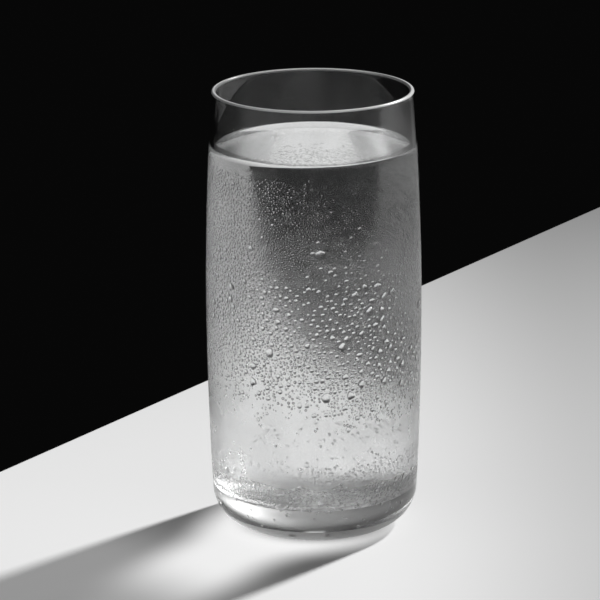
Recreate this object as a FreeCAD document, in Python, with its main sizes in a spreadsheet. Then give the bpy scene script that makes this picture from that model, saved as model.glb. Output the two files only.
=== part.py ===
import FreeCAD, Part
import Sketcher
import math
import os

# A barrel-shaped drinking glass filled with water.
# Frame: millimetres, +Z up, origin on the table under the middle of the glass.

SIZES = {
    "total_height": 138.5,
    "belly_diameter": 66.9,  # widest place of the outside
    "belly_height": 68.0,  # where it is, above the table
    "mouth_lean": 2.45,  # how far the outside leans in from belly to mouth
    "foot_lean": 1.95,  # the same from belly to table, before the foot is rounded
    "foot_round": 12.0,  # radius between side and underside
    "rim_wall": 1.4,
    "belly_wall": 1.15,
    "foot_wall": 1.9,  # wall that the inside would have if carried down to the table
    "floor_height": 10.5,  # middle of the inner floor
    "floor_rise": 1.5,  # how much higher the floor meets the wall, before rounding
    "floor_round": 8.0,  # radius between inner floor and wall
    "ring_width": 4.5,  # flat resting ring inside the rounded foot
    "hollow_depth": 1.5,  # shallow hollow inside the resting ring
    "brim_gap": 17.8,  # empty height between the water and the rim
}

BELLY = "sizes.belly_diameter / 2"
INNER_BELLY = "sizes.belly_diameter / 2 - sizes.belly_wall"
INNER_MOUTH_LEAN = "sizes.mouth_lean + sizes.rim_wall - sizes.belly_wall"
INNER_FOOT_LEAN = "sizes.foot_lean + sizes.foot_wall - sizes.belly_wall"
ABOVE_BELLY = "sizes.total_height - sizes.belly_height"
WATER_LEVEL = "sizes.total_height - sizes.brim_gap"
FLOOR_EDGE = "sizes.floor_height + sizes.floor_rise"
HOLLOW_RADIUS = BELLY + " - sizes.foot_lean - sizes.foot_round - sizes.ring_width"
RIM_ROUND = "sizes.rim_wall * 0.47"  # on both edges, which leaves almost no flat between

START, END, CENTRE = 1, 2, 3  # the sketcher's numbers for the points of an arc or a line
ORIGIN = (-1, START)
UPRIGHT_AXIS = -2


def make_sheet(doc):
    sheet = doc.addObject("Spreadsheet::Sheet", "sizes")
    for row, (name, value) in enumerate(SIZES.items(), start=1):
        sheet.set(f"A{row}", name)
        sheet.set(f"B{row}", str(value))
        sheet.setAlias(f"B{row}", name)
    doc.recompute()
    return sheet


def new_sketch(body, name):
    """An empty sketch on the body's own upright plane: its X is the radius, its Y the height."""
    sketch = body.newObject("Sketcher::SketchObject", name)
    plane = next(o for o in body.Origin.OriginFeatures if o.Role == "XZ_Plane")
    sketch.AttachmentSupport = [(plane, "")]
    sketch.MapMode = "FlatFace"
    return sketch


def size_of(sketch, expression):
    """What an expression on the sheet's sizes comes to now, in millimetres."""
    return float(sketch.evalExpression(expression))


def bind(sketch, name, kind, target, expression):
    """A dimension of the sketch that follows an expression on the sheet's sizes."""
    value = size_of(sketch, expression)
    index = sketch.addConstraint(Sketcher.Constraint(kind, *target, value))
    sketch.renameConstraint(index, name)
    sketch.setExpression("Constraints." + name, expression)


def join(sketch, *pairs):
    """Makes the end points in each pair meet."""
    for first, second in pairs:
        sketch.addConstraint(Sketcher.Constraint("Coincident", *first, *second))


def add_line(sketch, start, end):
    points = [FreeCAD.Vector(x, y, 0) for x, y in (start, end)]
    return sketch.addGeometry(Part.LineSegment(*points), False)


def add_arc(sketch, centre, radius, heights):
    """An arc to the right of its centre, from the lower to the higher of two heights."""
    circle = Part.Circle(FreeCAD.Vector(*centre, 0), FreeCAD.Vector(0, 0, 1), radius)
    angles = [math.asin((height - centre[1]) / radius) for height in heights]
    return sketch.addGeometry(Part.ArcOfCircle(circle, *angles), False)


def point(sketch, geometry, place):
    spot = sketch.getPoint(geometry, place)
    return spot.x, spot.y


def add_side(sketch, name, belly, rise, lean, heights):
    """An arc that stands upright at the belly and leans in by a given amount over a given rise."""
    bend = f"(({rise})^2 + ({lean})^2) / (2 * ({lean}))"
    radius = size_of(sketch, bend)
    belly_height = size_of(sketch, "sizes.belly_height")
    centre = (size_of(sketch, belly) - radius, belly_height)
    arc = add_arc(sketch, centre, radius, heights)
    bind(sketch, name + "_bend", "Radius", (arc,), bend)
    bind(sketch, name + "_centre", "DistanceY", (arc, CENTRE), "sizes.belly_height")
    return arc


def add_sides(sketch, belly, foot_lean, mouth_lean, bottom, top):
    """The side from a low height to a high one, as one arc below and one above the belly."""
    low, middle, high = (size_of(sketch, e) for e in (bottom, "sizes.belly_height", top))
    lower = add_side(sketch, "lower", belly, "sizes.belly_height", foot_lean, (low, middle))
    upper = add_side(sketch, "upper", belly, ABOVE_BELLY, mouth_lean, (middle, high))
    join(sketch, ((lower, END), (upper, START)))
    bind(sketch, "belly_height", "DistanceY", (lower, END), "sizes.belly_height")
    bind(sketch, "belly_radius", "DistanceX", (lower, END), belly)
    bind(sketch, "bottom_height", "DistanceY", (lower, START), bottom)
    bind(sketch, "top_height", "DistanceY", (upper, END), top)
    return lower, upper


def add_top_and_axis(sketch, upper, low):
    """The level line in from the top of the side, and the axis down to a low height."""
    across, high = point(sketch, upper, END)
    top = add_line(sketch, (across, high), (0, high))
    axis = add_line(sketch, (0, high), (0, low))
    join(sketch, ((upper, END), (top, START)), ((top, END), (axis, START)))
    sketch.addConstraint(Sketcher.Constraint("Horizontal", top))
    sketch.addConstraint(Sketcher.Constraint("PointOnObject", axis, START, UPRIGHT_AXIS))
    return axis


def draw_outside(sketch):
    """The solid outline of the glass, still square at the foot and the rim."""
    lower, upper = add_sides(
        sketch, BELLY, "sizes.foot_lean", "sizes.mouth_lean", "0", "sizes.total_height"
    )
    foot, _ = point(sketch, lower, START)
    table = add_line(sketch, (0, 0), (foot, 0))
    axis = add_top_and_axis(sketch, upper, 0)
    join(
        sketch,
        ((table, START), ORIGIN),
        ((table, END), (lower, START)),
        ((axis, END), ORIGIN),
    )


def draw_inside(sketch, top):
    """The inside of the glass up to a height, over a dished floor."""
    lower, upper = add_sides(
        sketch, INNER_BELLY, INNER_FOOT_LEAN, INNER_MOUTH_LEAN, FLOOR_EDGE, top
    )
    edge_radius, edge_height = point(sketch, lower, START)
    floor_height = size_of(sketch, "sizes.floor_height")
    axis = add_top_and_axis(sketch, upper, floor_height)
    rise = edge_height - floor_height
    bend = (edge_radius**2 + rise**2) / (2 * rise)
    circle = Part.Circle(FreeCAD.Vector(0, floor_height + bend, 0), FreeCAD.Vector(0, 0, 1), bend)
    sweep = math.asin(edge_radius / bend)
    floor = sketch.addGeometry(Part.ArcOfCircle(circle, -math.pi / 2, sweep - math.pi / 2), False)
    join(sketch, ((floor, END), (lower, START)), ((axis, END), (floor, START)))
    sketch.addConstraint(Sketcher.Constraint("PointOnObject", floor, CENTRE, UPRIGHT_AXIS))
    sketch.addConstraint(Sketcher.Constraint("PointOnObject", floor, START, UPRIGHT_AXIS))
    bind(sketch, "floor_height", "DistanceY", (floor, START), "sizes.floor_height")


def draw_hollow(sketch):
    """Half of a shallow dome that opens at the table."""
    radius = size_of(sketch, HOLLOW_RADIUS)
    depth = size_of(sketch, "sizes.hollow_depth")
    bend = (radius**2 + depth**2) / (2 * depth)
    circle = Part.Circle(FreeCAD.Vector(0, depth - bend, 0), FreeCAD.Vector(0, 0, 1), bend)
    sweep = math.asin(radius / bend)
    dome = sketch.addGeometry(Part.ArcOfCircle(circle, math.pi / 2 - sweep, math.pi / 2), False)
    axis = add_line(sketch, (0, depth), (0, 0))
    table = add_line(sketch, (0, 0), (radius, 0))
    join(
        sketch,
        ((dome, END), (axis, START)),
        ((axis, END), ORIGIN),
        ((table, START), ORIGIN),
        ((table, END), (dome, START)),
    )
    sketch.addConstraint(Sketcher.Constraint("Horizontal", table))
    sketch.addConstraint(Sketcher.Constraint("Vertical", axis))
    sketch.addConstraint(Sketcher.Constraint("PointOnObject", dome, CENTRE, UPRIGHT_AXIS))
    bind(sketch, "hollow_radius", "DistanceX", (dome, START), HOLLOW_RADIUS)
    bind(sketch, "hollow_depth", "DistanceY", (dome, END), "sizes.hollow_depth")


def turn(body, kind, name, sketch):
    """Turns a sketch once round the upright axis, to add to the body or to cut it."""
    feature = body.newObject(kind, name)
    feature.Profile = sketch
    feature.ReferenceAxis = (sketch, ["V_Axis"])
    feature.Angle = 360
    body.Document.recompute()
    return feature


def is_ring(edge, height):
    """True for a level circle at a given height, about the upright axis."""
    if edge.Degenerated or not isinstance(edge.Curve, Part.Circle):
        return False
    centre = edge.Curve.Center
    return math.hypot(centre.x, centre.y) < 0.01 and abs(centre.z - height) < 0.01


def round_rings(body, name, base, height, radius):
    """Rounds the circular edges of the base that lie at a height."""
    level = size_of(base, height)
    edges = enumerate(base.Shape.Edges, start=1)
    feature = body.newObject("PartDesign::Fillet", name)
    feature.Base = (base, [f"Edge{index}" for index, edge in edges if is_ring(edge, level)])
    feature.Radius = size_of(base, radius)
    feature.setExpression("Radius", radius)
    body.Document.recompute()
    return feature


def make_glass(doc):
    body = doc.addObject("PartDesign::Body", "glass")
    outside = new_sketch(body, "outside")
    draw_outside(outside)
    blank = turn(body, "PartDesign::Revolution", "blank", outside)
    foot = round_rings(body, "rounded_foot", blank, "0", "sizes.foot_round")
    inside = new_sketch(body, "inside")
    draw_inside(inside, "sizes.total_height")
    cavity = turn(body, "PartDesign::Groove", "cavity", inside)
    floor = round_rings(body, "rounded_floor", cavity, FLOOR_EDGE, "sizes.floor_round")
    under = new_sketch(body, "under")
    draw_hollow(under)
    hollow = turn(body, "PartDesign::Groove", "hollow", under)
    rim = round_rings(body, "rounded_rim", hollow, "sizes.total_height", RIM_ROUND)
    print_volumes(blank, foot, cavity, floor, hollow, rim)
    return body


def make_water(doc):
    body = doc.addObject("PartDesign::Body", "water")
    filling = new_sketch(body, "filling")
    draw_inside(filling, WATER_LEVEL)
    poured = turn(body, "PartDesign::Revolution", "poured", filling)
    rounded = round_rings(body, "rounded_bottom", poured, FLOOR_EDGE, "sizes.floor_round")
    print_volumes(poured, rounded)
    return body


def print_volumes(*steps):
    for step in steps:
        print(f"{step.Label}: {step.Shape.Volume / 1000:.2f} ml")


def check(doc, bodies):
    """Stops if anything in the document failed or a sub-part isn't one sound solid."""
    for thing in doc.Objects:
        if {"Invalid", "Error"} & set(thing.State):
            raise RuntimeError(f"{thing.Name} failed")
    for sketch in doc.findObjects("Sketcher::SketchObject"):
        if not sketch.FullyConstrained:
            raise RuntimeError(f"{sketch.Name} isn't fully constrained")
    for body in bodies:
        shape = body.Shape
        if shape.isNull() or not shape.isValid() or len(shape.Solids) != 1:
            raise RuntimeError(f"{body.Label} isn't one sound solid")


def write(bodies):
    os.makedirs("parts", exist_ok=True)
    for body in bodies:
        body.Shape.exportStep(os.path.join("parts", body.Label + ".step"))


doc = FreeCAD.newDocument("glass_of_water")
make_sheet(doc)
bodies = [make_glass(doc), make_water(doc)]
doc.recompute()
check(doc, bodies)
write(bodies)
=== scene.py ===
import bpy
import math
import random
from mathutils import Matrix, Quaternion, Vector, noise


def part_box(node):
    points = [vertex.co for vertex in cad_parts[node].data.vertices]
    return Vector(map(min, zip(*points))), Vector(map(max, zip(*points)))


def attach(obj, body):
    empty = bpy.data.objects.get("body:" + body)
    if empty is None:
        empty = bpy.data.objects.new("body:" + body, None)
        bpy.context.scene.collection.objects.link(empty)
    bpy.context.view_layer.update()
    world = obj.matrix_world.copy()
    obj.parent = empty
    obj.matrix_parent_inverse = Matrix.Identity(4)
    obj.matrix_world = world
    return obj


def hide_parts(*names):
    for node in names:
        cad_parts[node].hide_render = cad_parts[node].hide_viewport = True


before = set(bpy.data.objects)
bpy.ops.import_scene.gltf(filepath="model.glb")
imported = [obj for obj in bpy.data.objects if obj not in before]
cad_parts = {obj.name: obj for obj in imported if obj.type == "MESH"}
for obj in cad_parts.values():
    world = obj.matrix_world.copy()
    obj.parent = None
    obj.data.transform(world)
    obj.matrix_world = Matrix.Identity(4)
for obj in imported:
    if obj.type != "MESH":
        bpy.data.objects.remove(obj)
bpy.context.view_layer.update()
scene = bpy.context.scene
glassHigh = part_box("glass")[1]
waterLow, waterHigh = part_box("water")
print("frame loaded:", ", ".join(sorted(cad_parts)))

mm = 0.001


def deselectAll():
    bpy.ops.object.select_all(action="DESELECT")


def makeActive(piece):
    deselectAll()
    piece.select_set(True)
    bpy.context.view_layer.objects.active = piece


# The outline of the glass is a row of arcs. An arc is (centre, radius, first angle, last angle).

glassShape = {
    "bellyHeight": 68.0 * mm,  # the widest place, above the table
    "mouthLean": 2.45 * mm,  # how far the side leans in from belly to mouth
    "footLean": 1.95 * mm,  # and from belly down to the table
    "footRound": 12.0 * mm,
    "rimWall": 1.4 * mm,
    "rimRound": 0.47,  # radius of the rim's edge, as a part of its wall
    "bellyWall": 1.15 * mm,
    "footWall": 1.9 * mm,
    "floorRise": 1.5 * mm,
    "floorRound": 8.0 * mm,
    "ringWidth": 4.5 * mm,
    "hollowDepth": 1.5 * mm,
    "longStep": 1.5 * mm,  # between two points along the walls and the floor
    "footStep": 0.8 * mm,
    "cornerStep": 0.5 * mm,
    "rimStep": 0.1 * mm,
    "widestTurn": 0.12,  # radians between two points of an arc, at most
    "turnSteps": 240,
}
glassTop = glassHigh.z
bellyRadius = glassHigh.x
floorHeight = waterLow.z
waterLevel = waterHigh.z


def bendRadius(rise, lean):
    # radius of an arc that stands upright at the belly and leans in over a rise
    return (rise**2 + lean**2) / (2 * lean)


def sideCircle(above, inside):
    # centre and radius of the side's arc, above or below the belly, outside or inside
    shape = glassShape
    wall = shape["bellyWall"] if inside else 0
    if above:
        rise = glassTop - shape["bellyHeight"]
        lean = shape["mouthLean"] + (shape["rimWall"] - wall if inside else 0)
    else:
        rise = shape["bellyHeight"]
        lean = shape["footLean"] + (shape["footWall"] - wall if inside else 0)
    radius = bendRadius(rise, lean)
    return (bellyRadius - wall - radius, shape["bellyHeight"]), radius


def angleTo(centre, point):
    return math.atan2(point[1] - centre[1], point[0] - centre[0])


def heightAngle(circle, height):
    centre, radius = circle
    return math.asin((height - centre[1]) / radius)


def meetingPoint(centreA, radiusA, centreB, radiusB):
    # where two circles cross, on the side away from the axis
    across = Vector(centreB) - Vector(centreA)
    reach = across.length
    along = (radiusA**2 - radiusB**2 + reach**2) / (2 * reach)
    aside = math.sqrt(radiusA**2 - along**2)
    unit = across / reach
    foot = Vector(centreA) + unit * along
    spots = [foot + Vector((-unit.y, unit.x)) * aside * way for way in (1, -1)]
    return tuple(max(spots, key=lambda spot: spot.x))


def arcPoints(centre, radius, first, last, longestStep):
    sweep = abs(last - first)
    steps = max(2, math.ceil(sweep * radius / longestStep), math.ceil(sweep / glassShape["widestTurn"]))
    points = []
    for k in range(steps + 1):
        angle = first + (last - first) * k / steps
        points.append((centre[0] + radius * math.cos(angle), centre[1] + radius * math.sin(angle)))
    return points


def outsideOutline():
    # from the middle of the hollow under the foot, out and up to the top of the rim
    shape = glassShape
    low, high = sideCircle(False, False), sideCircle(True, False)
    footRound, rimRound = shape["footRound"], shape["rimWall"] * shape["rimRound"]
    footMiddle = (low[0][0] + math.sqrt((low[1] - footRound) ** 2 - (low[0][1] - footRound) ** 2), footRound)
    hollowRadius = bellyRadius - shape["footLean"] - footRound - shape["ringWidth"]
    hollowBend = bendRadius(hollowRadius, shape["hollowDepth"])
    hollowMiddle = (0, shape["hollowDepth"] - hollowBend)
    hollowEnd = angleTo(hollowMiddle, (hollowRadius, 0))
    points = arcPoints(hollowMiddle, hollowBend, math.pi / 2, hollowEnd, shape["longStep"])
    footEnd = angleTo(low[0], footMiddle)
    points += arcPoints(footMiddle, footRound, -math.pi / 2, footEnd, shape["footStep"])
    points += arcPoints(*low, footEnd, 0, shape["longStep"])[1:]
    rimHeight = glassTop - rimRound
    rimMiddle = (high[0][0] + math.sqrt((high[1] - rimRound) ** 2 - (rimHeight - high[0][1]) ** 2), rimHeight)
    rimStart = angleTo(high[0], rimMiddle)
    points += arcPoints(*high, 0, rimStart, shape["longStep"])[1:]
    points += arcPoints(rimMiddle, rimRound, rimStart, math.pi / 2, shape["rimStep"])[1:]
    return points


def insideOutline(top, extra):
    # from the middle of the inner floor, out and up the inner wall, moved into the glass by extra
    shape = glassShape
    low, high = sideCircle(False, True), sideCircle(True, True)
    edgeHeight = floorHeight + shape["floorRise"]
    edgeRadius = low[0][0] + math.sqrt(low[1] ** 2 - (edgeHeight - low[0][1]) ** 2)
    floorBend = bendRadius(edgeRadius, shape["floorRise"])
    floorMiddle = (0, floorHeight + floorBend)
    floorRound = shape["floorRound"]
    corner = meetingPoint(low[0], low[1] - floorRound, floorMiddle, floorBend - floorRound)
    cornerStart, cornerEnd = angleTo(floorMiddle, corner), angleTo(low[0], corner)
    longStep = shape["longStep"]
    points = arcPoints(floorMiddle, floorBend + extra, -math.pi / 2, cornerStart, longStep)
    points += arcPoints(corner, floorRound + extra, cornerStart, cornerEnd, shape["cornerStep"])[1:]
    points += arcPoints(low[0], low[1] + extra, cornerEnd, 0, longStep)[1:]
    upper = (high[0], high[1] + extra)
    points += arcPoints(*upper, 0, heightAngle(upper, top), longStep)[1:]
    return points


def rimInnerOutline():
    # the inner half of the rim's round, from the inner wall up to the top
    shape = glassShape
    high = sideCircle(True, True)
    rimRound = shape["rimWall"] * shape["rimRound"]
    rimHeight = glassTop - rimRound
    rimMiddle = (high[0][0] + math.sqrt((high[1] + rimRound) ** 2 - (rimHeight - high[0][1]) ** 2), rimHeight)
    start = angleTo(high[0], rimMiddle)
    topOfWall = high[0][1] + high[1] * math.sin(start)
    return topOfWall, arcPoints(rimMiddle, rimRound, math.pi + start, math.pi / 2, shape["rimStep"])


def turnOutline(name, outline, steps):
    # a chain of points in the XZ plane, drawn by extruding one vertex, then spun once round Z
    deselectAll()
    start = outline[0]
    bpy.ops.mesh.primitive_plane_add(size=mm, location=(start[0], 0, start[1]))
    piece = bpy.context.object
    piece.name = piece.data.name = name
    bpy.ops.object.transform_apply(location=True, rotation=True, scale=True)
    bpy.ops.object.mode_set(mode="EDIT")
    bpy.ops.mesh.merge(type="CENTER")
    for here, there in zip(outline, outline[1:]):
        step = (there[0] - here[0], 0, there[1] - here[1])
        bpy.ops.mesh.extrude_vertices_move(TRANSFORM_OT_translate={"value": step})
    bpy.ops.mesh.select_all(action="SELECT")
    bpy.ops.mesh.spin(steps=steps, angle=2 * math.pi, center=(0, 0, 0), axis=(0, 0, 1))
    bpy.ops.mesh.select_all(action="SELECT")
    bpy.ops.mesh.remove_doubles(threshold=0.001 * mm)
    bpy.ops.mesh.normals_make_consistent(inside=False)
    bpy.ops.object.mode_set(mode="OBJECT")
    bpy.ops.object.shade_smooth()
    return piece


def makeGlass():
    topOfWall, rimInner = rimInnerOutline()
    inside = insideOutline(topOfWall, 0)
    outline = outsideOutline() + rimInner[::-1] + inside[::-1][1:]
    return turnOutline("tumbler", outline, glassShape["turnSteps"])


waterShape = {
    "intoWall": 0.2 * mm,
    "levelDrop": 0.3 * mm,  # the middle lies this much under the level, and the edge climbs the wall
    "meniscusRise": 1.5 * mm,
    "meniscusReach": 1.5 * mm,
    "meniscusSteps": 22,
    "turnSteps": 240,
}


def makeWater():
    shape = waterShape
    level = waterLevel - shape["levelDrop"]
    contact = level + shape["meniscusRise"]
    outline = insideOutline(contact, shape["intoWall"])
    wall = outline[-1][0] - shape["intoWall"]
    outline.append((wall, contact))
    for k in range(1, shape["meniscusSteps"] + 1):
        away = wall * (k / shape["meniscusSteps"]) ** 3  # closest together at the wall
        rise = shape["meniscusRise"] * math.exp(-away / shape["meniscusReach"])
        outline.append((wall - away, level + rise))
    outline[-1] = (0, level)
    return turnOutline("waterFill", outline, shape["turnSteps"])


clearTone = (0.998, 1, 1, 1)
# painted shade: the grey of the foot's low band and underside, standing in for the dark they show
paintedShadeTone = (0.3, 0.3, 0.3, 1)
finishes = {  # colour, how much light it lets through, how strongly it bends light, roughness
    "clearGlass": (clearTone, 1, 1.5, 0),
    "mistedGlass": (clearTone, 1, 1.5, 0.5),  # its roughness comes from the mist
    "rimGlassPaintedHighlight": (clearTone, 0.4, 1.5, 0.25),  # painted highlight: partly matte white, so the round edge shows bright like light the wall pipes up to the rim
    "footGlassPaintedShade": (paintedShadeTone, 0.3, 1.5, 0.5),  # painted shade: a matte dark grey where the thick foot looks darkest
    "stillWater": (clearTone, 1, 1.333, 0),
    "dew": (clearTone, 1, 1.333, 0.03),
}


def newMaterial(name):
    material = bpy.data.materials.new(name)
    material.use_nodes = True
    shader = material.node_tree.nodes["Principled BSDF"]
    return material, material.node_tree, shader


def finishMaterial(name):
    material, tree, shader = newMaterial(name)
    sockets = ("Base Color", "Transmission Weight", "IOR", "Roughness")
    for socket, value in zip(sockets, finishes[name]):
        shader.inputs[socket].default_value = value
    return material


def addNode(tree, kind, **settings):
    # settings are the node's own properties, and in_NAME or in_0 gives a value or a link for an input
    node = tree.nodes.new(kind)
    for name, value in settings.items():
        if not name.startswith("in_"):
            setattr(node, name, value)
            continue
        key = name[3:].replace("_", " ")
        socket = node.inputs[int(key)] if key.isdigit() else node.inputs[key]
        if isinstance(value, bpy.types.NodeSocket):
            tree.links.new(value, socket)
        else:
            socket.default_value = value
    return node


def math2(tree, operation, first, second=0.0):
    return addNode(tree, "ShaderNodeMath", operation=operation, in_0=first, in_1=second).outputs[0]


def product(tree, first, *others):
    for other in others:
        first = math2(tree, "MULTIPLY", first, other)
    return first


def along(tree, place, way):
    # how far a place lies in a direction
    node = addNode(tree, "ShaderNodeVectorMath", operation="DOT_PRODUCT", in_0=place)
    node.inputs[1].default_value = way
    return node.outputs["Value"]


def rangeNode(tree, value, fromLow, fromHigh, toLow, toHigh, smooth=False):
    node = addNode(tree, "ShaderNodeMapRange", in_Value=value)
    node.interpolation_type = "SMOOTHSTEP" if smooth else "LINEAR"
    spans = {"From Min": fromLow, "From Max": fromHigh, "To Min": toLow, "To Max": toHigh}
    for name, number in spans.items():
        node.inputs[name].default_value = number
    return node.outputs["Result"]


def fadeNode(tree, value, low, high):
    # 0 at low, 1 at high, smooth between
    return rangeNode(tree, value, low, high, 0, 1, True)


mistPlan = {
    "top": 120.4 * mm,  # the mist thins out below this, just under the water's level
    "topFade": 1.5 * mm,
    "foot": 13.0 * mm,
    "footFade": 9.0 * mm,
    "footRoughness": 0.12,
    "roughness": 0.21,  # between the drops
    "paleRoughness": 0.31,  # in the evenly fogged band near the foot
    "paleTop": 53.0 * mm,
    "paleFull": 35.0 * mm,
    "patchScale": 160.0,  # the mist's slow unevenness, where it starts and ends, and how much it does
    "patchSpan": (0.35, 0.65),
    "patchAmount": (0.88, 1.06),
    "thinTurn": 50.0,  # degrees right of the front, where there is hardly any mist near the top
    "thinEdge": (-0.1, 0.75),
    "thinFoot": 80.0 * mm,
    "thinTop": 112.0 * mm,
    "thinned": 0.9,
    "rear": (3.0 * mm, 20.0 * mm),  # behind the axis: the mist there is thin near the top too
    "rearSmooth": 0.7,
    "grain": 0.55 * mm,  # size of the finest droplets
    "grainDepth": 0.02 * mm,
    "mottle": 2.4 * mm,
    "mottleDepth": 0.1 * mm,
}


def mistedGlassMaterial():
    plan = mistPlan
    material = finishMaterial("mistedGlass")
    tree = material.node_tree
    shader = tree.nodes["Principled BSDF"]
    place = addNode(tree, "ShaderNodeTexCoord").outputs["Object"]
    parts = addNode(tree, "ShaderNodeSeparateXYZ", in_0=place)
    height = parts.outputs["Z"]
    mistFoot = plan["foot"] + plan["footFade"]
    below = fadeNode(tree, height, plan["top"], plan["top"] - plan["topFade"])
    above = fadeNode(tree, height, plan["foot"], mistFoot)
    patches = addNode(tree, "ShaderNodeTexNoise", in_Vector=place, in_Scale=plan["patchScale"], in_Detail=3.0)
    uneven = rangeNode(tree, patches.outputs["Fac"], *plan["patchSpan"], *plan["patchAmount"])
    # thin near the top, at the right and behind; the front is -Y
    turn = math.radians(plan["thinTurn"])
    aside = along(tree, place, (math.sin(turn) / bellyRadius, -math.cos(turn) / bellyRadius, 0))
    high = fadeNode(tree, height, plan["thinFoot"], plan["thinTop"])
    rear = fadeNode(tree, parts.outputs["Y"], *plan["rear"])
    thinRight = product(tree, fadeNode(tree, aside, *plan["thinEdge"]), high)
    thin = math2(tree, "MAXIMUM", thinRight, product(tree, rear, high))
    kept = math2(tree, "SUBTRACT", 1.0, product(tree, thin, plan["thinned"]))
    amount = product(tree, below, above, uneven, kept)
    # rougher in the pale band, and a little rough on the foot
    footRough = rangeNode(tree, height, mistFoot, plan["foot"], 0, plan["footRoughness"], True)
    pale = rangeNode(tree, height, plan["paleTop"], plan["paleFull"], 0, 1)
    most = math2(tree, "MULTIPLY_ADD", pale, plan["paleRoughness"] - plan["roughness"])
    most.node.inputs[2].default_value = plan["roughness"]
    rough = math2(tree, "MAXIMUM", product(tree, amount, most), footRough)
    tree.links.new(rough, shader.inputs["Roughness"])
    # fine domes on slow swells
    grains = addNode(tree, "ShaderNodeTexVoronoi", in_Vector=place, in_Scale=1 / plan["grain"])
    mottles = addNode(tree, "ShaderNodeTexNoise", in_Vector=place, in_Scale=1 / plan["mottle"], in_Detail=2.0)
    domes = product(tree, grains.outputs["Distance"], -plan["grainDepth"])
    swells = product(tree, mottles.outputs["Fac"], plan["mottleDepth"])
    relief = math2(tree, "ADD", domes, swells)
    strength = product(tree, amount, math2(tree, "SUBTRACT", 1.0, product(tree, rear, plan["rearSmooth"])))
    bump = addNode(tree, "ShaderNodeBump", in_Height=relief, in_Distance=1.0, in_Strength=strength)
    tree.links.new(bump.outputs["Normal"], shader.inputs["Normal"])
    return material


wallZones = {
    "clearTop": 4.0 * mm,  # the rim's glass above this, measured down from the top, isn't misted
    "paintedShadeTop": 5.6 * mm,  # the outer wall gets the painted shade below this
    "underTop": 2.5 * mm,  # and so does the underside
    "underTip": -0.4,
    "rimShare": 0.5,  # of the rim's wall, down from the top
}


def finishGlass(piece):
    # clear inside, misted outside, painted shade underneath and a painted highlight along the rim
    zones = wallZones
    clear, misted, rim, paintedShadeSlot = range(4)
    for material in (
        finishMaterial("clearGlass"),
        mistedGlassMaterial(),
        finishMaterial("rimGlassPaintedHighlight"),
        finishMaterial("footGlassPaintedShade"),
    ):
        piece.data.materials.append(material)
    for face in piece.data.polygons:
        middle = face.center
        outward = face.normal.x * middle.x + face.normal.y * middle.y > 0
        face.material_index = clear
        if outward and middle.z < glassTop - zones["clearTop"]:
            face.material_index = misted if middle.z > zones["paintedShadeTop"] else paintedShadeSlot
        if middle.z < zones["underTop"] and face.normal.z < zones["underTip"]:
            face.material_index = paintedShadeSlot
        if middle.z > glassTop - glassShape["rimWall"] * zones["rimShare"]:
            face.material_index = rim


tumbler = makeGlass()
finishGlass(tumbler)
tumbler.visible_shadow = False
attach(tumbler, "root")
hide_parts("glass")
print("glass turned:", len(tumbler.data.polygons), "faces")

waterFill = makeWater()
waterFill.data.materials.append(finishMaterial("stillWater"))
waterFill.visible_shadow = False
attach(waterFill, "root")
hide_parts("water")
print("water turned:", len(waterFill.data.polygons), "faces")


def footJoint():
    # centre of the foot's round, and the height where it meets the side
    low, footRound = sideCircle(False, False), glassShape["footRound"]
    reach = math.sqrt((low[1] - footRound) ** 2 - (low[0][1] - footRound) ** 2)
    centre = (low[0][0] + reach, footRound)
    return centre, footRound * (1 + math.sin(angleTo(low[0], centre)))


def outerWall(height):
    # radius of the outer wall at a height, and how far its normal tips up
    footMiddle, jointHeight = footJoint()
    if height < jointHeight:
        centre, radius = footMiddle, glassShape["footRound"]
    else:
        centre, radius = sideCircle(height > glassShape["bellyHeight"], False)
    tip = heightAngle((centre, radius), height)
    return centre[0] + radius * math.cos(tip), tip


dropKinds = [
    {
        "name": "largeDrops",
        "count": 260,
        "sizes": (1.7 * mm, 3.0 * mm),
        "sides": 16,
        "rings": 5,
        "contact": 50,
        "uneven": 0.26,
        "sag": 0.25,
        "gap": 0.1 * mm,
    },
    {
        "name": "mediumDrops",
        "count": 1900,
        "sizes": (1.05 * mm, 1.7 * mm),
        "sides": 10,
        "rings": 3,
        "contact": 44,
        "uneven": 0.16,
        "sag": 0.15,
        "gap": 0.06 * mm,
    },
    {
        "name": "smallDrops",
        "count": 6000,
        "sizes": (0.74 * mm, 1.05 * mm),
        "sides": 8,
        "rings": 1,
        "contact": 30,
        "uneven": 0.05,
        "sag": 0.08,
        "gap": 0.03 * mm,
    },
    {
        "name": "fineDrops",
        "count": 8000,
        "sizes": (0.52 * mm, 0.74 * mm),
        "sides": 6,
        "rings": 1,
        "contact": 28,
        "uneven": 0.0,
        "sag": 0.0,
        "gap": 0.02 * mm,
    },
    {
        "name": "finestDrops",
        "count": 8000,
        "sizes": (0.36 * mm, 0.52 * mm),
        "sides": 6,
        "rings": 1,
        "contact": 28,
        "uneven": 0.0,
        "sag": 0.0,
        "gap": 0.02 * mm,
    },
]
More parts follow.
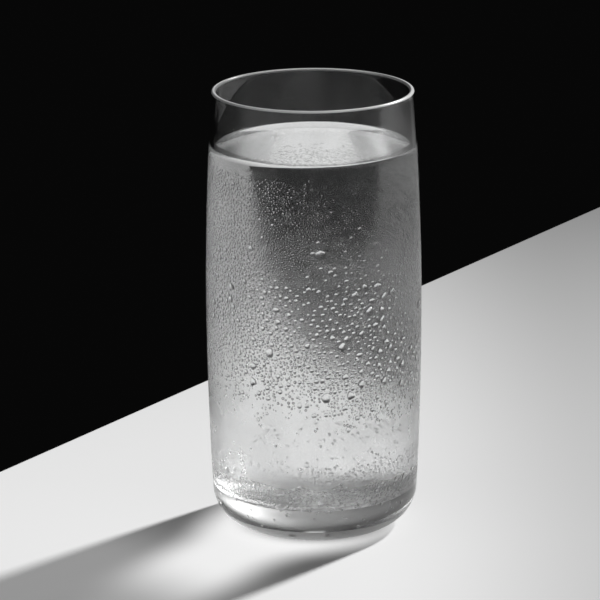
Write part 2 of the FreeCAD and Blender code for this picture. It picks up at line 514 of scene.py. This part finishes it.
dewPlan = {
    "seed": 41,
    "triesEach": 14,
    "cells": 207,  # round the wall, each about 1 mm wide
    "wallRadius": 33.0 * mm,  # near enough, to turn angles into distances
    "top": 118.3 * mm,  # drops start under the water's level
    "topFull": 114.0 * mm,
    "foot": 3.5 * mm,
    "paleTop": 60.0 * mm,  # below this the wall is evenly fogged, with few drops
    "paleFull": 32.0 * mm,
    "paleTopRise": 15.0 * mm,  # away from the coarse side the pale band reaches higher
    "paleFullRise": 10.0 * mm,
    "paleLess": 0.97,
    "ring": (30.0 * mm, 23.0 * mm),  # drops gather again just above the thick foot
    "ringShare": 0.5,
    "footEdge": (12.0 * mm, 17.0 * mm),  # and there are hardly any on the foot
    "footShare": 0.035,
    "patchScale": 2.2,
    "patchSpan": (0.25, 0.55),
    "patchShare": 0.8,
    "behind": (0.15, -0.25),  # cosines of the turns where the far side starts and where it is full
    "behindLess": 0.75,
    "behindTop": (78.0 * mm, 96.0 * mm),  # and none behind above this
    "beside": (0.4, 0.1),  # the same for the sides that are seen edge on
    "coarseTurn": 38.0,  # degrees right of the front, where most drops have run together
    "coarseSpread": 0.62,
    "coarseHeight": 62.0 * mm,
    "coarseTall": 19.0 * mm,
    "coarseRing": (28.0 * mm, 22.0 * mm),
    "coarsePatches": 0.25,  # how much each counts: patches anywhere
    "coarseMiddlePatches": 0.35,  # patches at mid height
    "coarseMiddleSide": 0.75,  # the coarse side at mid height
    "coarseRingShare": 0.4,  # and the ring above the foot
    "mediumLeast": 0.06,  # medium drops sit here and there on smooth parts too
    "coarseScale": 1.7,
    "coarseShift": (7, 3, 5),
    "spared": (80.0 * mm, 100.0 * mm),  # hardly any large or medium drops above this, or at the sides
    "sparedShare": 0.8,
    "smallBias": 1.5,  # above 1, small drops are commoner than large
    "intoWall": 0.09,  # of a drop's radius
    "underWidth": 0.97,
    "shoulder": 0.45,  # where a drop of one ring has it, from edge to top
    "swellScale": 1.3,  # the unevenness of a drop's edge
    "swellShift": 3.1,  # so that no two variants are alike
    "swellGain": 2,
    "variants": 4,
    "stretch": (0.85, 1.2),
    "height": (0.85, 1.1),
}
bulgePlan = {
    "thinSide": (52.0 * mm, 92.0 * mm),  # flatter above this where the mist is thin
    "low": (28.0 * mm, 62.0 * mm),  # and below this
    "lowRise": (12.0 * mm, 20.0 * mm),  # which lies higher away from the coarse side
    "flat": 0.3,
    "full": 0.76,
    "fullLess": 0.22,
    "behindLess": 0.5,
    "besideLess": 0.5,
}


def softStep(low, high, value):
    part = min(1.0, max(0.0, (value - low) / (high - low)))
    return part * part * (3 - 2 * part)


def patchiness(turn, height, scale, shift=(0, 0, 0)):
    # 0 to 1, changing slowly over the wall
    here = Vector((math.cos(turn), math.sin(turn), height / dewPlan["wallRadius"])) * scale + Vector(shift)
    return 0.5 + 0.5 * noise.noise(here)


def behind(turn):
    # 1 on the far side from the camera, 0 on the near side
    return softStep(*dewPlan["behind"], math.cos(turn))


def beside(turn):
    # 1 where the wall is seen edge on
    return softStep(*dewPlan["beside"], abs(math.cos(turn)))


def thinSide(turn):
    # 1 where the mist is thin near the top
    return softStep(*mistPlan["thinEdge"], math.cos(turn - math.radians(mistPlan["thinTurn"])))


def coarseSide(turn):
    # 1 a little right of the front, where most drops have run together
    away = math.remainder(turn - math.radians(dewPlan["coarseTurn"]), 2 * math.pi)
    return math.exp(-((away / dewPlan["coarseSpread"]) ** 2))


def wetness(turn, height):
    # how closely the drops sit, 0 to 1, at a turn from the front and a height
    plan = dewPlan
    full = softStep(plan["top"], plan["topFull"], height)
    clearer = 1 - coarseSide(turn)
    paleTop = plan["paleTop"] + plan["paleTopRise"] * clearer
    paleFull = plan["paleFull"] + plan["paleFullRise"] * clearer
    pale = 1 - plan["paleLess"] * softStep(paleTop, paleFull, height)
    pale = max(pale, plan["ringShare"] * softStep(*plan["ring"], height))
    thin = thinSide(turn) * softStep(mistPlan["thinFoot"], mistPlan["thinTop"], height)
    kept = 1 - mistPlan["thinned"] * thin
    less = plan["behindLess"]
    kept *= 1 - behind(turn) * (less + (1 - less) * softStep(*plan["behindTop"], height))
    foot, patch = plan["footShare"], plan["patchShare"]
    foot += (1 - foot) * softStep(*plan["footEdge"], height)
    patch += (1 - patch) * softStep(*plan["patchSpan"], patchiness(turn, height, plan["patchScale"]))
    return full * pale * kept * foot * patch


def bulge(turn, height):
    # drops lie flatter where the mist is thin, in the pale band, on the foot, behind and at the sides
    plan = bulgePlan
    high = 1 - thinSide(turn) * softStep(*plan["thinSide"], height)
    away = 1 - coarseSide(turn)
    start, end = (edge + rise * away for edge, rise in zip(plan["low"], plan["lowRise"]))
    full = plan["flat"] + (plan["full"] - plan["fullLess"] * away) * high * softStep(start, end, height)
    return full * (1 - plan["behindLess"] * behind(turn)) * (1 - plan["besideLess"] * beside(turn))


def coarseness(turn, height):
    # where drops have run together: mostly at mid height, strongest a little right of the front
    plan = dewPlan
    patch = patchiness(turn, height, plan["coarseScale"], plan["coarseShift"])
    middle = math.exp(-(((height - plan["coarseHeight"]) / plan["coarseTall"]) ** 2))
    low = softStep(*plan["coarseRing"], height)
    most = plan["coarseMiddlePatches"] * patch + plan["coarseMiddleSide"] * coarseSide(turn)
    return min(1.0, plan["coarsePatches"] * patch + middle * most + plan["coarseRingShare"] * low)


def dropTemplate(kind, number):
    # a drop of radius 1 m that stands on the XY plane, a little of it below; Y is up the wall
    plan = dewPlan
    contact = math.radians(kind["contact"])
    shoulder = plan["shoulder"] if kind["rings"] == 1 else 0
    outline = [(0, -plan["intoWall"]), (plan["underWidth"], -plan["intoWall"])]
    for k in range(kind["rings"]):
        part = contact * (1 - (k + shoulder) / kind["rings"])
        rise = math.cos(part) - math.cos(contact)
        outline.append((math.sin(part) / math.sin(contact), rise / math.sin(contact)))
    outline.append((0, (1 - math.cos(contact)) / math.sin(contact)))
    drop = turnOutline(kind["name"] + "Shape%d" % number, outline, kind["sides"])
    for vertex in drop.data.vertices:
        around = math.atan2(vertex.co.y, vertex.co.x)
        here = Vector((math.cos(around), math.sin(around), number * plan["swellShift"])) * plan["swellScale"]
        swell = 1 + kind["uneven"] * noise.noise(here) * plan["swellGain"]
        vertex.co.x *= swell
        vertex.co.y *= swell
        vertex.co.y -= kind["sag"] * max(0.0, vertex.co.z)
    return drop


def placeDrops(kind, taken, draw):
    # the spots of one kind, clear of those already taken, as (turn, height, radius)
    plan = dewPlan
    columns = plan["cells"]
    cell = 2 * math.pi / columns
    smallest, largest = kind["sizes"]
    spots, lucks = [], {}
    for attempt in range(kind["count"] * plan["triesEach"]):
        if len(spots) == kind["count"]:
            break
        turn = draw.uniform(0, 2 * math.pi)
        height = draw.uniform(plan["foot"], plan["top"])
        column, row = int(turn / cell), int(height / mm)
        luck = lucks.setdefault((column, row), draw.random())  # one for each mm, so bare spots stay bare
        chance, share = wetness(turn, height), draw.random()
        coarse = coarseness(turn, height)
        spared = 1 - plan["sparedShare"] * softStep(*plan["spared"], height)
        spared *= 1 - plan["sparedShare"] * beside(turn)
        if kind["name"] == "largeDrops":
            chance *= coarse**2 * spared
        elif kind["name"] == "mediumDrops":
            chance *= (plan["mediumLeast"] + coarse) * spared
        if luck > chance:
            continue
        radius = 0.5 * (smallest + (largest - smallest) * share ** plan["smallBias"])
        clear = True
        for otherTurn, otherHeight, otherRadius in taken.get((column, row), ()):
            aside = math.remainder(turn - otherTurn, 2 * math.pi) * plan["wallRadius"]
            if math.hypot(aside, height - otherHeight) < radius + otherRadius + kind["gap"]:
                clear = False
                break
        if not clear:
            continue
        spots.append((turn, height, radius))
        reach = math.ceil((radius * 2 + kind["gap"]) / mm)
        for x in range(-reach, reach + 1):
            for y in range(-reach, reach + 1):
                taken.setdefault(((column + x) % columns, row + y), []).append((turn, height, radius))
    return spots


def copyOntoSpots(name, templates, places, turns, sizes, shapes):
    # one mesh of all the copies, each copy with its own faces
    mesh = bpy.data.meshes.new(name)
    mesh.from_pydata(places, [], [])
    piece = bpy.data.objects.new(name, mesh)
    scene.collection.objects.link(piece)
    for key, rows in (("turn", turns), ("size", sizes)):
        layer = mesh.attributes.new(key, "FLOAT_VECTOR", "POINT")
        layer.data.foreach_set("vector", [number for row in rows for number in row])
    mesh.attributes.new("shape", "INT", "POINT").data.foreach_set("value", shapes)
    holder = bpy.data.collections.new(name + "Shapes")
    for template in templates:
        holder.objects.link(template)
    group = bpy.data.node_groups.new(name + "Copies", "GeometryNodeTree")
    group.interface.new_socket("Geometry", in_out="INPUT", socket_type="NodeSocketGeometry")
    group.interface.new_socket("Geometry", in_out="OUTPUT", socket_type="NodeSocketGeometry")
    given = addNode(group, "NodeGroupInput")
    made = addNode(group, "NodeGroupOutput")
    info = addNode(group, "GeometryNodeCollectionInfo", in_Collection=holder)
    info.inputs["Separate Children"].default_value = True
    info.inputs["Reset Children"].default_value = True
    copies = addNode(group, "GeometryNodeInstanceOnPoints", in_Points=given.outputs[0])
    copies.inputs["Pick Instance"].default_value = True
    group.links.new(info.outputs[0], copies.inputs["Instance"])
    for key, sort, socket in (
        ("shape", "INT", "Instance Index"),
        ("turn", "FLOAT_VECTOR", "Rotation"),
        ("size", "FLOAT_VECTOR", "Scale"),
    ):
        stored = addNode(group, "GeometryNodeInputNamedAttribute", data_type=sort, in_Name=key)
        group.links.new(stored.outputs[0], copies.inputs[socket])
    real = addNode(group, "GeometryNodeRealizeInstances", in_Geometry=copies.outputs[0])
    group.links.new(real.outputs[0], made.inputs[0])
    modifier = piece.modifiers.new("copies", "NODES")
    modifier.node_group = group
    makeActive(piece)
    bpy.ops.object.modifier_apply(modifier=modifier.name)
    for key in ("turn", "size", "shape"):
        if key in piece.data.attributes:
            piece.data.attributes.remove(piece.data.attributes[key])
    for template in templates:
        bpy.data.objects.remove(template)
    bpy.data.collections.remove(holder)
    bpy.data.node_groups.remove(group)
    return piece


def makeDew():
    plan = dewPlan
    taken = {}
    draw = random.Random(plan["seed"])
    material = finishMaterial("dew")
    for kind in dropKinds:
        spots = placeDrops(kind, taken, draw)
        places, turns, sizes, shapes = [], [], [], []
        variants = plan["variants"] if kind["uneven"] else 1
        templates = [dropTemplate(kind, number) for number in range(variants)]
        for turn, height, radius in spots:
            wall, tip = outerWall(height)
            aim = turn - math.pi / 2  # turn 0 is the front
            outward = Vector((math.cos(aim) * math.cos(tip), math.sin(aim) * math.cos(tip), math.sin(tip)))
            up = Vector((-math.cos(aim) * math.sin(tip), -math.sin(aim) * math.sin(tip), math.cos(tip)))
            side = up.cross(outward)
            basis = Matrix((side, up, outward)).transposed()
            places.append((wall * math.cos(aim), wall * math.sin(aim), height))
            turns.append(tuple(basis.to_euler()))
            tall = radius * draw.uniform(*plan["stretch"])
            sizes.append((radius, tall, radius * bulge(turn, height) * draw.uniform(*plan["height"])))
            shapes.append(draw.randrange(variants))
        piece = copyOntoSpots(kind["name"], templates, places, turns, sizes, shapes)
        piece.data.materials.clear()
        piece.data.materials.append(material)
        piece.visible_shadow = False
        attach(piece, "root")
        print(kind["name"], len(spots), "drops,", len(piece.data.polygons), "faces")


makeDew()


tableTop = {
    "edgeAway": 113.0 * mm,  # from the glass's axis to the table's back edge
    "edgeTurn": 56.7,  # degrees, the edge's direction from +X
    "edgeRound": 1.6 * mm,
    "size": 3.0,
    "thickness": 30.0 * mm,
    "tone": 0.8,
    "side": (10.0 * mm, 105.0 * mm, 0.66),  # painted pool of light: the table's tone thins out to the right: from, to, what is left
    "back": (-60.0 * mm, 700.0 * mm, 0.06),  # and to the back and the front
    "near": (-110.0 * mm, -300.0 * mm, 0.18),
}


def makeFloor():
    deselectAll()
    shape = tableTop
    turn = math.radians(shape["edgeTurn"])
    outward = Vector((-math.sin(turn), math.cos(turn), 0))
    middle = outward * (shape["edgeAway"] - shape["size"] / 2)
    bpy.ops.mesh.primitive_cube_add(
        size=1, location=(middle.x, middle.y, -shape["thickness"] / 2), rotation=(0, 0, turn)
    )
    floor = bpy.context.object
    floor.name = "tableTop"
    floor.scale = (shape["size"], shape["size"], shape["thickness"])
    bpy.ops.object.transform_apply(location=True, rotation=True, scale=True)
    bpy.ops.object.mode_set(mode="EDIT")
    bpy.ops.mesh.select_all(action="SELECT")
    bpy.ops.mesh.bevel(offset=shape["edgeRound"], segments=4, affect="EDGES")
    bpy.ops.object.mode_set(mode="OBJECT")
    material, tree, shader = newMaterial("paleTablePaintedLight")
    place = addNode(tree, "ShaderNodeSeparateXYZ", in_0=addNode(tree, "ShaderNodeTexCoord").outputs["Object"])
    tone = shape["tone"]
    # painted light: the tone darkens away from the glass like the lamp's pool of light
    for way, axis in (("side", "X"), ("back", "Y"), ("near", "Y")):
        start, end, remains = shape[way]
        tone = product(tree, rangeNode(tree, place.outputs[axis], start, end, 1, remains, True), tone)
    tree.links.new(tone, shader.inputs["Base Color"])
    shader.inputs["Roughness"].default_value = 0.6
    shader.inputs["Specular IOR Level"].default_value = 0.0
    floor.data.materials.append(material)
    return floor


makeFloor()


cameraPlan = {
    "aim": Vector((-4.33 * mm, 0, 71.4 * mm)),
    "distance": 1.089,
    "pitch": 15.91,
    "roll": 0.38,
    "lens": 210,
}


def makeCamera():
    plan = cameraPlan
    pitch = math.radians(plan["pitch"])
    forward = Vector((0, math.cos(pitch), -math.sin(pitch)))
    data = bpy.data.cameras.new("camera")
    data.lens = plan["lens"]
    camera = bpy.data.objects.new("camera", data)
    scene.collection.objects.link(camera)
    camera.location = plan["aim"] - forward * plan["distance"]
    camera.rotation_mode = "QUATERNION"
    level = forward.to_track_quat("-Z", "Y")
    camera.rotation_quaternion = level @ Quaternion((0, 0, 1), -math.radians(plan["roll"]))
    scene.camera = camera


makeCamera()


keyLamp = {
    "turn": 46.85,  # degrees from +X
    "height": 38.0,
    "aimHeight": 0.06,
    "distance": 4.0,
    "size": 0.28,
    "power": 246.0,
}


def makeLamp(name, plan):
    turn, height = math.radians(plan["turn"]), math.radians(plan["height"])
    back = Vector((math.cos(turn) * math.cos(height), math.sin(turn) * math.cos(height), math.sin(height)))
    data = bpy.data.lights.new(name, "AREA")
    data.shape = "DISK"
    data.size = plan["size"]
    data.energy = plan["power"]
    lamp = bpy.data.objects.new(name, data)
    scene.collection.objects.link(lamp)
    lamp.location = Vector((0, 0, plan["aimHeight"])) + back * plan["distance"]
    lamp.rotation_mode = "QUATERNION"
    lamp.rotation_quaternion = (-back).to_track_quat("-Z", "Y")


makeLamp("keyLamp", keyLamp)


shadowPlan = {
    "inset": 0.4 * mm,
    "everyPoint": 3,
    "turnSteps": 64,
    "dim": 0.1,  # light let through in the dark bands, near the foot
    "dimFar": 0.3,
    "dimRun": (32.0 * mm, 70.0 * mm),  # near and far, along the shadow from the axis
    "rightDim": 0.45,  # of that, in the band on the right
    "rightEdge": (-9.0 * mm, 9.0 * mm),
    "bright": 1.05,  # and where the water gathers it
    "brightFar": 0.36,
    "brightRun": (55.0 * mm, 96.0 * mm),
    "lean": 0.2,  # how the gathered light leans aside as it runs out
    "leanFrom": 32.0 * mm,
    "innerHalf": 7.0 * mm,  # half the width of the gathered light, where it is full and where it ends
    "outerHalf": 25.0 * mm,
    "narrow": 12.0 * mm,  # less than that near the foot
    "narrowRun": (5.0 * mm, 48.0 * mm),
    "under": 0.25,  # light that reaches the table right under the foot
    "underEdge": (20.0 * mm, 28.0 * mm),
}


def makeShadowBody():
    # the glass and water throw no shadow of their own: this body, which shows nowhere, throws it for them,
    # with the dark sides and the bright middle that a lens of water gives
    plan = shadowPlan
    wall = outsideOutline()[:: plan["everyPoint"]]
    outline = [(max(0, point[0] - plan["inset"]), point[1]) for point in wall]
    outline[0] = (0, outline[0][1])
    outline.append((0, outline[-1][1]))
    body = turnOutline("shadowBody", outline, plan["turnSteps"])
    material, tree, shader = newMaterial("gatheredLight")
    tree.nodes.remove(shader)
    turn, slope = math.radians(keyLamp["turn"]), math.tan(math.radians(keyLamp["height"]))
    place = addNode(tree, "ShaderNodeTexCoord").outputs["Object"]
    height = addNode(tree, "ShaderNodeSeparateXYZ", in_0=place).outputs["Z"]
    across = along(tree, place, (-math.sin(turn), math.cos(turn), 0))
    towards = along(tree, place, (math.cos(turn), math.sin(turn), 0))
    # how far from the axis the shadow of this spot falls on the table
    run = math2(tree, "SUBTRACT", math2(tree, "DIVIDE", height, slope), towards)
    over = math2(tree, "MAXIMUM", math2(tree, "SUBTRACT", run, plan["leanFrom"]), 0.0)
    lean = product(tree, over, -plan["lean"])
    aside = math2(tree, "ABSOLUTE", math2(tree, "SUBTRACT", across, lean))
    widen = rangeNode(tree, run, *plan["narrowRun"], plan["narrow"], 0, True)
    inner = math2(tree, "SUBTRACT", aside, widen)
    gathered = fadeNode(tree, inner, plan["outerHalf"], plan["innerHalf"])
    dim = rangeNode(tree, run, *plan["dimRun"], plan["dim"], plan["dimFar"], True)
    dim = product(tree, dim, rangeNode(tree, across, *plan["rightEdge"], plan["rightDim"], 1))
    bright = rangeNode(tree, run, *plan["brightRun"], plan["bright"], plan["brightFar"], True)
    extra = product(tree, math2(tree, "SUBTRACT", bright, dim), gathered)
    spot = addNode(tree, "ShaderNodeCombineXYZ", in_X=run, in_Y=across)
    away = addNode(tree, "ShaderNodeVectorMath", operation="LENGTH", in_0=spot.outputs[0])
    under = rangeNode(tree, away.outputs["Value"], *plan["underEdge"], plan["under"], 1, True)
    through = product(tree, math2(tree, "ADD", dim, extra), under)
    # light crosses the body twice and is dimmed once, on its way in
    leaving = addNode(tree, "ShaderNodeNewGeometry").outputs["Backfacing"]
    once = addNode(tree, "ShaderNodeMix", data_type="FLOAT", in_0=leaving, in_2=1.0, in_3=through)
    clear = addNode(tree, "ShaderNodeBsdfTransparent", in_Color=once.outputs[0])
    tree.links.new(clear.outputs[0], tree.nodes["Material Output"].inputs["Surface"])
    body.data.materials.append(material)
    body.visible_camera = False
    body.visible_diffuse = False
    body.visible_glossy = False
    body.visible_transmission = False
    body.visible_volume_scatter = False


makeShadowBody()


worldPlan = {
    "soft": 0.23,  # all the front, from the sides round
    "frontFrom": 0.1,
    "frontFull": -0.25,
    "glow": 0.9,  # a pale panel behind, low over the table's far edge, that the water mirrors
    "glowFoot": 0.205,
    "glowFull": 0.24,
    "glowTop": 0.35,
    "glowEnd": 0.315,
    "glowLeft": (-0.075, -0.045),  # the same sideways, where it starts and where it ends
    "glowRight": (0.085, 0.05),
    "glowBack": (0.0, 0.35),
    "dark": 0.0022,
}


def makeWorld():
    # soft light from the front, the pale panel behind, and dark wherever the camera looks
    plan = worldPlan
    world = bpy.data.worlds.new("studio")
    scene.world = world
    world.use_nodes = True
    tree = world.node_tree
    tree.nodes.clear()
    way = addNode(tree, "ShaderNodeTexCoord").outputs["Generated"]
    parts = addNode(tree, "ShaderNodeSeparateXYZ", in_0=way)
    front = fadeNode(tree, parts.outputs["Y"], plan["frontFrom"], plan["frontFull"])
    raised = fadeNode(tree, parts.outputs["Z"], plan["glowFoot"], plan["glowFull"])
    under = fadeNode(tree, parts.outputs["Z"], plan["glowTop"], plan["glowEnd"])
    left = fadeNode(tree, parts.outputs["X"], *plan["glowLeft"])
    right = fadeNode(tree, parts.outputs["X"], *plan["glowRight"])
    back = fadeNode(tree, parts.outputs["Y"], *plan["glowBack"])
    glow = product(tree, raised, under, back, left, right, plan["glow"])
    path = addNode(tree, "ShaderNodeLightPath")
    unseen = math2(tree, "SUBTRACT", 1.0, path.outputs["Is Camera Ray"])
    both = math2(tree, "ADD", product(tree, front, plan["soft"]), glow)
    level = math2(tree, "ADD", product(tree, both, unseen), plan["dark"])
    light = addNode(tree, "ShaderNodeBackground", in_Color=level)
    output = addNode(tree, "ShaderNodeOutputWorld")
    tree.links.new(light.outputs[0], output.inputs["Surface"])


makeWorld()
scene.view_settings.view_transform = "Standard"
scene.cycles.max_bounces = 32
scene.cycles.transmission_bounces = 32
scene.cycles.transparent_max_bounces = 16
scene.cycles.caustics_refractive = False
scene.cycles.caustics_reflective = False
print("stage, camera and lamps ready")
